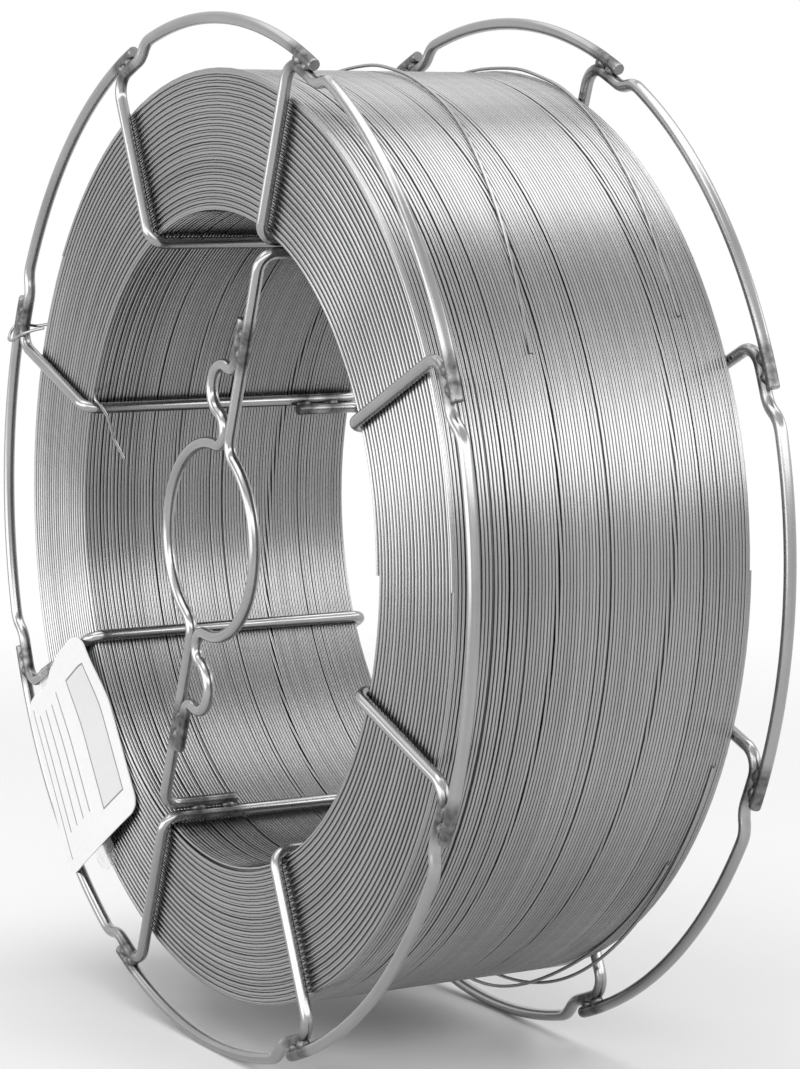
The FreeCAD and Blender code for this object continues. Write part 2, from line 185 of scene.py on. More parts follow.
def path_mesh(name, points):
    """An edge path through the points, which knows how near each point is to a weld."""
    spots = [Vector(points[0])]
    for point in points[1:]:
        start, run = spots[-1], Vector(point) - spots[-1]
        parts = math.ceil(run.length / path_step)
        spots += [start + run * part / parts for part in range(1, parts + 1)]
    spots.insert(1, spots[0] + (spots[1] - spots[0]).normalized() * shear_length)
    spots.insert(-1, spots[-1] + (spots[-2] - spots[-1]).normalized() * shear_length)
    burns = []
    for spot in spots:
        away = min((spot - weld).length for weld, _, _ in welds)
        burns.append(min(1, max(0, (burn_reach - away) / (burn_reach - burn_core))))
    return points_mesh(name, spots, [(step, step + 1) for step in range(len(spots) - 1)], burn=burns)


def rim_half():
    """Spoke, land, joggle and rim in the flange's plane, from the leg's bend to the cut end."""
    bend_height = math.sqrt((land_radius - spoke_bend) ** 2 - spoke_bend**2)
    bend_turn = math.degrees(math.atan2(bend_height, spoke_bend))
    land_turn = 90 - math.degrees(math.asin(land_reach / land_radius))
    out_reach, back_reach = land_radius + joggle_bend, rim_radius - joggle_bend
    span = out_reach**2 + back_reach**2 - (2 * joggle_bend) ** 2
    rim_turn = land_turn - math.degrees(math.acos(span / (2 * out_reach * back_reach)))
    out_at = arc((0, 0), out_reach, land_turn, land_turn, 1)[0]
    back_at = arc((0, 0), back_reach, rim_turn, rim_turn, 1)[0]
    across = math.degrees(math.atan2(back_at[1] - out_at[1], back_at[0] - out_at[0]))
    cut_turn = 90 - 360 / wire_count - math.degrees(math.asin(lap_reach / rim_radius))
    run = [(0, leg_radius + corner_bend)]
    run += arc((spoke_bend, bend_height), spoke_bend, 180, bend_turn, 9)
    run += arc((0, 0), land_radius, bend_turn, land_turn, 0.6)[1:]
    run += arc(out_at, joggle_bend, land_turn - 180, across, 7)[1:]
    run += arc(back_at, joggle_bend, across + 180, rim_turn, 7)[1:]
    run += arc((0, 0), rim_radius, rim_turn, cut_turn, 0.6)[1:]
    return run


def basket_path():
    """The whole bent wire, from the near rim's cut end to the far rim's."""
    corner = arc((-(flange_plane - corner_bend), leg_radius + corner_bend), corner_bend, 180, 270, 10)
    near = [(x, -flange_plane, z) for x, z in reversed(rim_half())]
    near += [(0, y, z) for y, z in corner]
    near.append((0, 0, leg_radius))
    return near + [(x, -y, z) for x, y, z in reversed(near[:-1])]


# Each weld is its place, the size of its metal across, along the axis and outwards, and its turn.
welds = []
spoke_angles = [first_spoke + number * 360 / wire_count for number in range(wire_count)]
joint_beads = {2.1: (2.5 * mm, 1.9 * mm, 2.1 * mm), 4.1: (2.125 * mm, 1.9 * mm, 1.785 * mm)}
foot_bead, foot_welds = (1.6 * mm, 2.8 * mm, 1.6 * mm), (27 * mm, 37 * mm)
end_bead, end_welds = (1.9 * mm, 1.8 * mm, 2.5 * mm), (58 * mm, 64 * mm)
bar_offset = wire_radius + weld_gap / 2
foot_radius = leg_radius - math.sqrt(3) * bar_offset
hub_places = {"near_hub_wire_a": (2, False), "near_hub_wire_b": (6, False),
              "far_hub_wire_a": (4, True), "far_hub_wire_b": (8, True)}


def weld_at(place, size, angle):
    """Keeps a weld that lies at the place while its wire's spoke stands straight up."""
    welds.append((turned([place], angle)[0], size, angle))


for spoke in spoke_angles:
    for past, size in joint_beads.items():
        for side in (-1, 1):
            weld_at((0, side * flange_plane, (rim_radius + land_radius) / 2), size, spoke + past)
for leg, flips in hub_places.values():
    side = 1 if flips else -1
    for reach in foot_welds:
        weld_at((-side * bar_offset / 2, side * reach, (foot_radius + leg_radius) / 2), foot_bead,
                spoke_angles[leg - 1])
    for reach in end_welds:
        weld_at((0, side * flange_plane, -reach), end_bead, spoke_angles[leg - 1])

round_wire, given = make_tree("Round wire along a path", [
    ("Path", "Geometry", None),
    ("Wire radius", "Float", wire_radius),
    ("Sides", "Int", 16),
    ("Sheared end", "Float", 0.93),
    ("Material", "Material", None),
])
curve = add(round_wire, "GeometryNodeMeshToCurve", Mesh=given["Path"])["Curve"]
run = add(round_wire, "GeometryNodeSplineParameter")["Length"]
curve = store(round_wire, curve, "along", run)
ends = add(round_wire, "GeometryNodeCurveEndpointSelection")["Selection"]
curve = add(round_wire, "GeometryNodeSetCurveRadius", Curve=curve, Radius=1.0)["Curve"]
curve = add(round_wire, "GeometryNodeSetCurveRadius", Curve=curve, Selection=ends,
            Radius=given["Sheared end"])["Curve"]
ring = add(round_wire, "GeometryNodeCurvePrimitiveCircle", Resolution=given["Sides"],
           Radius=given["Wire radius"])["Curve"]
ring = store(round_wire, ring, "around", add(round_wire, "GeometryNodeSplineParameter")["Factor"])
tube = add(round_wire, "GeometryNodeCurveToMesh", Curve=curve, Profile_Curve=ring, Fill_Caps=True,
           Scale=add(round_wire, "GeometryNodeInputRadius")["Radius"])["Mesh"]
end_tree(round_wire, tube, given["Material"])


def bare_metal(name, rough):
    """A bare metal, with its node tree and its shader."""
    material = bpy.data.materials.new(name)
    material.use_nodes = True
    nodes = material.node_tree
    shader = nodes.nodes["Principled BSDF"]
    shader.inputs["Metallic"].default_value = 1.0
    shader.inputs["Roughness"].default_value = rough
    return material, nodes, shader


def grey(nodes, tone):
    """A grey of the given tone."""
    return add(nodes, "ShaderNodeCombineColor", Red=tone, Green=tone, Blue=tone)["Color"]


drawn_wire, nodes, shader = bare_metal("drawn_basket_wire", 0.3)
run = add(nodes, "ShaderNodeAttribute", {"attribute_name": "along"})["Fac"]
side = add(nodes, "ShaderNodeAttribute", {"attribute_name": "around"})["Fac"]
burn = add(nodes, "ShaderNodeAttribute", {"attribute_name": "burn"})["Fac"]
drawn = add(nodes, "ShaderNodeCombineXYZ", X=maths(nodes, "MULTIPLY", run, 30.0),
            Y=maths(nodes, "MULTIPLY", side, 9.0), Z=0.0)["Vector"]
streak = add(nodes, "ShaderNodeTexNoise", Vector=drawn, Scale=1.0, Detail=3.0)["Fac"]
place = add(nodes, "ShaderNodeTexCoord")["Object"]
smudge = add(nodes, "ShaderNodeTexNoise", Vector=place, Scale=70.0, Detail=3.0)["Fac"]
speck = add(nodes, "ShaderNodeTexNoise", Vector=place, Scale=480.0, Detail=4.0, Roughness=0.6)["Fac"]
worn = maths(nodes, "ADD", maths(nodes, "MULTIPLY", streak, 0.6), maths(nodes, "MULTIPLY", smudge, 0.4))
tone = spread(nodes, worn, 0.3, 0.7, 0.29, 0.37)
scorch = maths(nodes, "MULTIPLY", burn, spread(nodes, speck, 0.35, 0.65, 0.82, 0.5))
tone = maths(nodes, "MULTIPLY", tone, maths(nodes, "SUBTRACT", 1.0, scorch))
nodes.links.new(grey(nodes, tone), shader.inputs["Base Color"])
rough = maths(nodes, "ADD", spread(nodes, worn, 0.3, 0.7, 0.17, 0.26), maths(nodes, "MULTIPLY", burn, 0.12))
nodes.links.new(rough, shader.inputs["Roughness"])
pitted = maths(nodes, "ADD", maths(nodes, "MULTIPLY", streak, 0.15), maths(nodes, "MULTIPLY", burn, speck))
bump = add(nodes, "ShaderNodeBump", Strength=0.2, Distance=0.0003, Height=pitted)["Normal"]
nodes.links.new(bump, shader.inputs["Normal"])

for number, angle in enumerate(spoke_angles, start=1):
    name = f"bent_wire_{number}"
    piece = grow(name, path_mesh(name, turned(basket_path(), angle)), round_wire,
                 {"Material": drawn_wire})
    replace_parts(piece, f"basket_wire_{number}")

# The hubs' wires
# Two like wires of the same steel on each flange: a foot spot welded along a leg, a bar, a half
# loop round the spindle's hole, a hook round the driving pin, and an end welded to the other's bar.
# The far flange's pair stands a quarter turn on from the near one's.
foot_reach = 24 * mm
loop_radius = 28 * mm
shoulder_bend = 6 * mm
neck_bend = 4.7 * mm
hook_radius = 7.25 * mm
hook_reach = 44.5 * mm
end_bend = 4 * mm
hub_end = 68 * mm


def turn_to(start, end):
    """The direction from one point to another, in degrees."""
    return math.degrees(math.atan2(end[1] - start[1], end[0] - start[0]))


def hub_path():
    """One hub wire as it lies on the near flange with its leg straight up."""
    axis = (0, 0)
    shoulder_at = (bar_offset + shoulder_bend,
                   math.sqrt((loop_radius + shoulder_bend) ** 2 - (bar_offset + shoulder_bend) ** 2))
    neck_reach, neck_across = loop_radius + neck_bend, bar_offset + neck_bend
    neck_at = (neck_across, -math.sqrt(neck_reach**2 - neck_across**2))
    span = neck_reach**2 + hook_reach**2 - (neck_bend + hook_radius) ** 2
    hook_turn = math.asin(neck_across / neck_reach) - math.acos(span / (2 * neck_reach * hook_reach))
    hook_at = (hook_reach * math.sin(hook_turn), -hook_reach * math.cos(hook_turn))
    end_across = bar_offset + end_bend
    end_drop = math.sqrt((hook_radius + end_bend) ** 2 - (end_across - hook_at[0]) ** 2)
    end_at = (end_across, hook_at[1] - end_drop)
    run = arc(shoulder_at, shoulder_bend, 180, turn_to(shoulder_at, axis) + 360, 8)
    run += arc(axis, loop_radius, turn_to(axis, shoulder_at), turn_to(axis, neck_at), 3)[1:]
    run += arc(neck_at, neck_bend, turn_to(neck_at, axis), turn_to(neck_at, hook_at) + 360, 10)[1:]
    run += arc(hook_at, hook_radius, turn_to(hook_at, neck_at), turn_to(hook_at, end_at), 8)[1:]
    run += arc(end_at, end_bend, turn_to(end_at, hook_at), 180, 10)[1:]
    run.append((bar_offset, -hub_end))
    foot = [(-(flange_plane - foot_reach), foot_radius)]
    foot += arc((-(flange_plane - corner_bend), foot_radius - corner_bend), corner_bend, 90, 180, 10)
    return [(bar_offset, y, z) for y, z in foot] + [(x, -flange_plane, z) for x, z in run]


for node, (leg, flips) in hub_places.items():
    points = [(-x, -y, z) for x, y, z in hub_path()] if flips else hub_path()
    name = node.replace("hub_wire", "hub_loop")
    piece = grow(name, path_mesh(name, turned(points, spoke_angles[leg - 1])), round_wire,
                 {"Material": drawn_wire})
    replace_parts(piece, node)

# The spot welds
# At each joint the two wires were pressed together and melted, which left two small uneven beads
# of dark steel in the groove between them.
weld_steel, nodes, shader = bare_metal("burnt_weld_steel", 0.4)
place = add(nodes, "ShaderNodeTexCoord")["Object"]
speck = add(nodes, "ShaderNodeTexNoise", Vector=place, Scale=700.0, Detail=4.0, Roughness=0.7)["Fac"]
nodes.links.new(grey(nodes, spread(nodes, speck, 0.35, 0.7, 0.05, 0.22)), shader.inputs["Base Color"])
nodes.links.new(spread(nodes, speck, 0.3, 0.7, 0.5, 0.25), shader.inputs["Roughness"])
bump = add(nodes, "ShaderNodeBump", Strength=0.4, Distance=0.0003, Height=speck)["Normal"]
nodes.links.new(bump, shader.inputs["Normal"])


def named(tree, label):
    """The number that the geometry keeps on its points under a name."""
    return add(tree, "GeometryNodeInputNamedAttribute", {"data_type": "FLOAT"}, Name=label)["Attribute"]


beads, given = make_tree("Beads on weld spots", [
    ("Spots", "Geometry", None),
    ("Segments", "Int", 10),
    ("Rings", "Int", 6),
    ("Unevenness", "Float", 0.45 * mm),
    ("Material", "Material", None),
])
bead = add(beads, "GeometryNodeMeshUVSphere", Segments=given["Segments"], Rings=given["Rings"],
           Radius=1.0)["Mesh"]
size = add(beads, "ShaderNodeCombineXYZ", X=named(beads, "across"), Y=named(beads, "deep"),
           Z=named(beads, "outwards"))["Vector"]
facing = add(beads, "ShaderNodeCombineXYZ", X=0.0, Y=named(beads, "turn"), Z=0.0)["Vector"]
placed = add(beads, "GeometryNodeInstanceOnPoints", Points=given["Spots"], Instance=bead,
             Rotation=facing, Scale=size)["Instances"]
real = add(beads, "GeometryNodeRealizeInstances", Geometry=placed)["Geometry"]
lumps = add(beads, "ShaderNodeTexNoise", Scale=420.0, Detail=1.0,
            Vector=add(beads, "GeometryNodeInputPosition")["Position"])["Color"]
lumps = maths(beads, "SUBTRACT", lumps, (0.5, 0.5, 0.5), kind="ShaderNodeVectorMath")
moved = add(beads, "ShaderNodeVectorMath", {"operation": "SCALE"}, Vector=lumps,
            Scale=given["Unevenness"])["Vector"]
end_tree(beads, add(beads, "GeometryNodeSetPosition", Geometry=real, Offset=moved)["Geometry"],
         given["Material"])
across, deep, outwards = zip(*[size for _, size, _ in welds])
grow("spot_welds", points_mesh("spot_welds", [spot for spot, _, _ in welds], across=across, deep=deep,
                               outwards=outwards, turn=[math.radians(turn) for _, _, turn in welds]),
     beads, {"Material": weld_steel})

# The coil of welding wire
# Bright drawn wire 1.0 mm thick, wound in layers: turns lie side by side on the outside and in
# the bore, and the layers' ends show as rings on both ends. Slack between some turns opens thin
# gaps, and most of them wander across the layer, because turn after turn steps over.
lay = 0.5 * mm
coil_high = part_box("wire_coil")[1]
coil_radius = coil_high.z
coil_half = coil_high.y
bore_radius = 94.25 * mm

wound_wire, nodes, shader = bare_metal("bright_coil_wire", 0.2)
place = add(nodes, "ShaderNodeTexCoord")["Object"]
turn = add(nodes, "ShaderNodeAttribute", {"attribute_name": "turn"})["Fac"]
own = add(nodes, "ShaderNodeTexNoise", {"noise_dimensions": "1D"}, W=turn, Scale=2.3, Detail=1.0)["Fac"]
patch = add(nodes, "ShaderNodeTexNoise", Vector=place, Scale=14.0, Detail=4.0)["Fac"]
mixed = maths(nodes, "ADD", maths(nodes, "MULTIPLY", own, 0.5), maths(nodes, "MULTIPLY", patch, 0.5))
nodes.links.new(grey(nodes, spread(nodes, mixed, 0.25, 0.75, 0.27, 0.4)), shader.inputs["Base Color"])
nodes.links.new(spread(nodes, patch, 0.3, 0.7, 0.19, 0.28), shader.inputs["Roughness"])

layer, given = make_tree("Wound layer", [
    ("Gaps", "Geometry", None),
    ("Turns", "Float", 87.0),
    ("Points per turn", "Int", 112),
    ("First radius", "Float", coil_radius),
    ("Last radius", "Float", coil_radius),
    ("Width", "Float", 2 * coil_half),
    ("First place", "Float", -coil_half),
    ("Wire radius", "Float", lay),
    ("Sides", "Int", 8),
    ("Wander", "Float", 0.25 * mm),
    ("Lift", "Float", 0.1 * mm),
    ("Seed", "Float", 1.0),
    ("Material", "Material", None),
])
spiral = add(layer, "GeometryNodeCurveSpiral", Resolution=given["Points per turn"],
             Rotations=given["Turns"], Start_Radius=given["First radius"],
             End_Radius=given["Last radius"], Height=given["Width"])["Curve"]
turn = maths(layer, "DIVIDE", add(layer, "GeometryNodeInputIndex")["Index"], given["Points per turn"])
spiral = store(layer, spiral, "turn", turn)
spiral = store(layer, spiral, "shift", 0.0)
angle = maths(layer, "MULTIPLY", turn, 2 * math.pi)
each_gap = layer.nodes.new("GeometryNodeRepeatInput")
last_gap = layer.nodes.new("GeometryNodeRepeatOutput")
each_gap.pair_with_output(last_gap)
gap_count = add(layer, "GeometryNodeAttributeDomainSize", Geometry=given["Gaps"])["Point Count"]
layer.links.new(gap_count, each_gap.inputs["Iterations"])
layer.links.new(spiral, each_gap.inputs["Geometry"])


def gap_value(label):
    """What the gap of this round has under a name."""
    return add(layer, "GeometryNodeSampleIndex", {"data_type": "FLOAT", "domain": "POINT"},
               Geometry=given["Gaps"], Value=named(layer, label),
               Index=each_gap.outputs["Iteration"])["Value"]


swing = maths(layer, "COSINE", maths(layer, "SUBTRACT", angle, gap_value("phase")))
edge = maths(layer, "ADD", gap_value("place"), maths(layer, "MULTIPLY", gap_value("drift"), swing))
past = add(layer, "ShaderNodeMapRange", {"interpolation_type": "SMOOTHSTEP"}, Value=named(layer, "turn"),
           From_Min=edge, From_Max=maths(layer, "ADD", edge, 1.0))["Result"]
opened = maths(layer, "ADD", named(layer, "shift"), maths(layer, "MULTIPLY", past, gap_value("width")))
shifted = store(layer, each_gap.outputs["Geometry"], "shift", opened)
layer.links.new(shifted, last_gap.inputs["Geometry"])
circling = add(layer, "ShaderNodeCombineXYZ", X=maths(layer, "COSINE", angle),
               Y=maths(layer, "SINE", angle), Z=maths(layer, "MULTIPLY", turn, 0.12))["Vector"]
common = add(layer, "ShaderNodeTexNoise", {"noise_dimensions": "4D"}, Vector=circling,
             W=given["Seed"], Scale=1.2, Detail=1.0)["Fac"]
wander = maths(layer, "MULTIPLY", maths(layer, "SUBTRACT", common, 0.5), given["Wander"])
single = add(layer, "ShaderNodeCombineXYZ", X=maths(layer, "COSINE", angle),
             Y=maths(layer, "SINE", angle), Z=maths(layer, "MULTIPLY", turn, 1.7))["Vector"]
own = add(layer, "ShaderNodeTexNoise", {"noise_dimensions": "4D"}, Vector=single,
          W=given["Seed"], Scale=1.6, Detail=1.0)["Fac"]
lift = maths(layer, "MULTIPLY", maths(layer, "SUBTRACT", own, 0.5), given["Lift"])
offset = add(layer, "ShaderNodeCombineXYZ", X=maths(layer, "MULTIPLY", maths(layer, "COSINE", angle), lift),
             Y=maths(layer, "MULTIPLY", maths(layer, "SINE", angle), lift),
             Z=maths(layer, "ADD", named(layer, "shift"), wander))["Vector"]
spiral = add(layer, "GeometryNodeSetPosition", Geometry=last_gap.outputs["Geometry"],
             Offset=offset)["Geometry"]
spiral = add(layer, "GeometryNodeSetCurveNormal", {"mode": "Z_UP"}, Curve=spiral)["Curve"]
ring = add(layer, "GeometryNodeCurvePrimitiveCircle", Resolution=given["Sides"],
           Radius=given["Wire radius"])["Curve"]
tube = add(layer, "GeometryNodeCurveToMesh", Curve=spiral, Profile_Curve=ring, Fill_Caps=True)["Mesh"]
start = add(layer, "ShaderNodeCombineXYZ", X=0.0, Y=given["First place"], Z=0.0)["Vector"]
tube = add(layer, "GeometryNodeTransform", Geometry=tube, Translation=start,
           Rotation=(-math.pi / 2, 0, 0))["Geometry"]
end_tree(layer, tube, given["Material"])


def wind(name, gaps, values):
    """One layer of turns or one end's rings, with its gaps as place, drift, phase and width."""
    spots = [(0, 0, 0)] * len(gaps)
    place, drift, phase, width = zip(*gaps) if gaps else ((), (), (), ())
    mesh = points_mesh(name, spots, place=place, drift=drift, width=width,
                       phase=[math.radians(turn) for turn in phase])
    return grow(name, mesh, layer, {"Material": wound_wire, **values})


outside_turns = 86.0


def slack(*gaps):
    """Gaps counted in turns, from each one's place, wander, turn to its highest side and width in mm."""
    first = lay - coil_half
    pitch = (2 * (coil_half - lay) - sum(width for _, _, _, width in gaps) * mm) / outside_turns
    return [((place * mm - first) / pitch, drift * mm / pitch, side - 90, width * mm)
            for place, drift, side, width in gaps]


gaps = slack((-44.4, 0.2, 100, 0.12), (-43.2, 0.3, 60, 0.26), (-41.4, 0.5, 150, 0.36),
             (-40.1, 0.4, 300, 0.1), (-38.8, 0.6, 20, 0.26), (-36.4, 0.5, 60, 0.6),
             (-35.1, 0.4, 10, 0.14), (-33.6, 0.3, 200, 0.1), (-32.4, 1.2, 40, 0.42),
             (-30.9, 0.5, 120, 0.12), (-26.2, 1.6, 330, 0.38), (-18.4, 6.7, 175, 0.48),
             (-5.8, 0.8, 150, 0.2), (-2.2, 0.3, 200, 0.52), (15.3, 10.8, 175, 0.54),
             (24.8, 0.6, 130, 0.3), (28.9, 1.5, 90, 0.2))
slack_width = sum(width for _, _, _, width in gaps)
wind("outside_turns", gaps, {
    "Turns": outside_turns, "First radius": coil_radius - lay, "Last radius": coil_radius - lay,
    "Width": 2 * (coil_half - lay) - slack_width, "First place": lay - coil_half, "Seed": 3.0})
wind("bore_turns", gaps, {
    "Turns": outside_turns, "First radius": bore_radius + lay, "Last radius": bore_radius + lay,
    "Width": 2 * (coil_half - lay) - slack_width, "First place": lay - coil_half, "Seed": 8.0,
    "Points per turn": 96})
ring_step = 1.722 * mm
rings = 22.4
for side, end in (("near", -1), ("far", 1)):
    for depth, name in enumerate((f"{side}_end_rings", f"{side}_end_hollow_rings")):
        wind(name, [], {
            "Turns": rings, "First radius": bore_radius + lay + depth * ring_step / 2,
            "Last radius": bore_radius + lay + depth * ring_step / 2 + rings * ring_step,
            "Width": 0.0, "First place": end * (coil_half - lay - depth * lay), "Seed": 5.0 + end,
            "Lift": 0.25 * mm})

# The coil's loose ends and turns
# The wire's start is bent over a leg and its other end is hooked round the near rim. Two of the
# outermost turns near the far side have slipped and hang below the coil, and two near the top
# stand over the rest where they cross it.


def eased(points, parts):
    """A smooth run through the points, with a number of parts between each two."""
    knots = [Vector(point) for point in points]
    knots = [2 * knots[0] - knots[1], *knots, 2 * knots[-1] - knots[-2]]
    run = []
    for a, b, c, d in zip(knots, knots[1:], knots[2:], knots[3:]):
        for part in range(parts):
            t = part / parts
            run.append((2 * b + (c - a) * t + (2 * a - 5 * b + 4 * c - d) * t**2
                        + (3 * b - a - 3 * c + d) * t**3) / 2)
    return [*run, knots[-2]]


def round_axis(places):
    """Points from degrees clockwise from straight up, distance from the axis and place along it."""
    return [(out * mm * math.sin(math.radians(turn)), along * mm, out * mm * math.cos(math.radians(turn)))
            for turn, out, along in places]


def hanging(first, last, middle, width, drop, along):
    """A turn that leaves the coil and stands furthest off it at its middle."""
    resting = coil_radius / mm + 0.35
    return [(turn, resting + drop * math.exp(-(((turn - middle) / width) ** 2)), along)
            for turn in range(first, last + 1, 3)]


loose = {
    "wire_start": round_axis([(292.9, 92.9, -45.4), (292.6, 90.6, -46.2), (291.8, 89.3, -44.9),
                              (289.6, 87.7, -42.7), (286.6, 86.9, -41), (285.2, 87, -40.2),
                              (283.2, 85.9, -38.6), (281, 84.8, -37)]),
    "wire_end": round_axis([(298, 134.6, -34), (295, 136.2, -40.5), (293.3, 140.6, -44.6),
                            (292.5, 145, -45.7), (291.8, 150.2, -45.9), (291.2, 153.4, -46.8),
                            (290.3, 153.9, -48.3), (289.6, 151.8, -49.8), (289.8, 148.9, -50.25),
                            (290.7, 145.6, -50.25), (292, 141.4, -50), (293.2, 137.8, -48.2),
                            (294, 135.5, -45.8)]),
    "loose_turn_a": round_axis(hanging(114, 219, 162, 20, 3.7, 42.2)),
    "loose_turn_b": round_axis(hanging(129, 231, 179, 17, 5.6, 40.1)),
    "raised_turn_a": round_axis([(-40, 134.2, 5), (-26, 134.6, 4.8), (-12, 135.2, 4), (0, 135.5, 2.6),
                                 (8, 135.4, 1.2), (16, 135.1, -0.4), (26, 134.9, -2.7), (37, 134.8, -7),
                                 (50, 134.7, -11.5), (64, 134.3, -15)]),
    "raised_turn_b": round_axis([(-38, 134.2, 45.4), (-22, 134.6, 45.7), (-8, 135.1, 45.7),
                                 (4, 135.4, 45.6), (12, 135.2, 44.9), (20, 135, 43.6), (31, 134.8, 40.2),
                                 (45, 134.7, 36.5), (60, 134.3, 34)]),
}
for name, points in loose.items():
    grow(name, path_mesh(name, eased(points, 5)), round_wire,
         {"Material": wound_wire, "Wire radius": lay, "Sides": 10})

# The layers beneath
# What shows through the gaps is the next layer of the same wire, so the coil's body is a ring
# with a groove between each pair of turns, just under the layers that show. Its grey is painted
# far darker than the wire's own, as painted shade deep in the gaps.
shaded_under_wire, nodes, shader = bare_metal("coil_wire_beneath_painted_shade", 0.4)
place = add(nodes, "ShaderNodeTexCoord")["Object"]
patch = add(nodes, "ShaderNodeTexNoise", Vector=place, Scale=60.0, Detail=3.0)["Fac"]
# Painted shade: a grey far darker than the same wire's own, standing for the shade between turns.
nodes.links.new(grey(nodes, spread(nodes, patch, 0.0, 1.0, 0.08, 0.2)), shader.inputs["Base Color"])
under, groove, facets = 0.85 * mm, 0.2 * mm, 96
body_half = coil_half - 1.2 * mm
steps = round(2 * body_half / lay)
across = [-body_half + 2 * body_half * step / steps for step in range(steps + 1)]
profile = [(coil_radius - under - groove * (step % 2), y) for step, y in enumerate(across)]
profile += [(bore_radius + under + groove * (step % 2), y) for step, y in reversed(list(enumerate(across)))]
spots, faces = [], []
for facet in range(facets):
    turn = 2 * math.pi * facet / facets
    spots += [(reach * math.sin(turn), y, reach * math.cos(turn)) for reach, y in profile]
    here, there = facet * len(profile), (facet + 1) % facets * len(profile)
    for step in range(len(profile)):
        following = (step + 1) % len(profile)
        faces.append((here + step, here + following, there + following, there + step))
mesh = bpy.data.meshes.new("coil_body")
mesh.from_pydata(spots, [], faces)
mesh.materials.append(shaded_under_wire)
piece = bpy.data.objects.new("coil_body", mesh)
bpy.context.scene.collection.objects.link(piece)
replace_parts(keep(piece), "wire_coil")

# The card and its clear sleeve
# A white card hangs over spoke 7, sprung back against the coil along its inner edge, with a blank
# form of ruled lines. Of its clear sleeve, a strap loops the spoke behind the card and a tab stands
# past the card's free edge.
card_turn = math.radians(first_spoke + 6 * 360 / wire_count)
card_wide, card_long, card_lean = 52 * mm, 60 * mm, math.radians(10)
card_corner, card_thick = 5 * mm, 0.35 * mm
card_aside, card_inner, card_front = 2 * mm, 95 * mm, -50.65 * mm
sprung, sprung_fade, sprung_from, sprung_over = 3.2 * mm, 1.7, 0.04, 0.4
card_steps, card_rows, smooth_below = 40, 44, math.radians(50)
card_edge = [(0.0, 0.0), (0.2, 2.6), (0.38, 3.0), (0.52, 1.8), (0.66, -1.3), (0.82, 0.4), (1.0, 0.0)]


def between(table, at):
    """The value at a place in a table of places and values, eased from one to the next."""
    for (low, start), (high, end) in zip(table, table[1:]):
        if at <= high:
            part = (at - low) / (high - low)
            return start + (end - start) * part * part * (3 - 2 * part)
    return table[-1][1]


def spoke_point(x, y, z):
    """A point from its place beside spoke 7, along the axis and out along the spoke."""
    return (x * math.cos(card_turn) + z * math.sin(card_turn), y,
            z * math.cos(card_turn) - x * math.sin(card_turn))


def card_point(wide, long, depth=0.0):
    """A point of the card from its parts of the width and the length, both from 0 to 1."""
    s, t = wide * card_wide, long * card_long
    for_s, for_t = min(s, card_wide - s), min(t, card_long - t)
    if for_s < card_corner and for_t < card_corner:
        out_s, out_t = card_corner - for_s, card_corner - for_t
        reach = max(out_s, out_t) / math.hypot(out_s, out_t)
        in_s, in_t = out_s * (1 - reach), out_t * (1 - reach)
        s += in_s if s < card_wide / 2 else -in_s
        t += in_t if t < card_long / 2 else -in_t
    t -= between(card_edge, wide) * mm * (1 - long) ** 3
    dip = max(0.0, min(1.0, (long - sprung_from) / sprung_over))
    dip = dip * dip * (3 - 2 * dip)
    return spoke_point(card_aside - s * math.sin(card_lean) - t * math.cos(card_lean),
                       card_front + depth + sprung * (1 - wide) ** sprung_fade * dip,
                       card_inner + s * math.cos(card_lean) - t * math.sin(card_lean))


def thin_sheet(name, rows, inwards, material):
    """A closed thin sheet between a grid of points and the same grid moved inwards."""
    down, across = len(rows), len(rows[0])
    front = [Vector(point) for row in rows for point in row]
    back = [point + shift for point, shift in zip(front, inwards)]
    faces = []
    for row in range(down - 1):
        for step in range(across - 1):
            a = row * across + step
            faces.append((a, a + 1, a + across + 1, a + across))
    total = len(front)
    faces += [tuple(corner + total for corner in reversed(face)) for face in faces]
    border = list(range(across)) + [row * across + across - 1 for row in range(1, down)]
    border += [(down - 1) * across + step for step in range(across - 2, -1, -1)]
    border += [row * across for row in range(down - 2, 0, -1)]
    for here, there in zip(border, border[1:] + border[:1]):
        faces.append((here, here + total, there + total, there))
    mesh = bpy.data.meshes.new(name)
    mesh.from_pydata(front + back, [], faces)
    printed_on = mesh.uv_layers.new(name="print")
    for loop in mesh.loops:
        row, step = divmod(loop.vertex_index % total, across)
        printed_on.data[loop.index].uv = (step / (across - 1), row / (down - 1))
    shape = bmesh.new()
    shape.from_mesh(mesh)
    bmesh.ops.recalc_face_normals(shape, faces=shape.faces)
    for face in shape.faces:
        face.smooth = True
    for edge in shape.edges:
        edge.smooth = edge.calc_face_angle(0.0) < smooth_below
    shape.to_mesh(mesh)
    shape.free()
    mesh.materials.append(material)
    piece = bpy.data.objects.new(name, mesh)
    bpy.context.scene.collection.objects.link(piece)
    return keep(piece)


card_paper = bpy.data.materials.new("ruled_white_card")
card_paper.use_nodes = True
nodes = card_paper.node_tree
shader = nodes.nodes["Principled BSDF"]
shader.inputs["Coat Weight"].default_value = 0.35
shader.inputs["Coat Roughness"].default_value = 0.12
sheet = add(nodes, "ShaderNodeSeparateXYZ", Vector=add(nodes, "ShaderNodeUVMap", {"uv_map": "print"})["UV"])
across, down = sheet["X"], sheet["Y"]


def within(value, low, high):
    """One where the value lies between the two limits, and nought elsewhere."""
    return maths(nodes, "MULTIPLY", maths(nodes, "GREATER_THAN", value, low),
                 maths(nodes, "LESS_THAN", value, high))


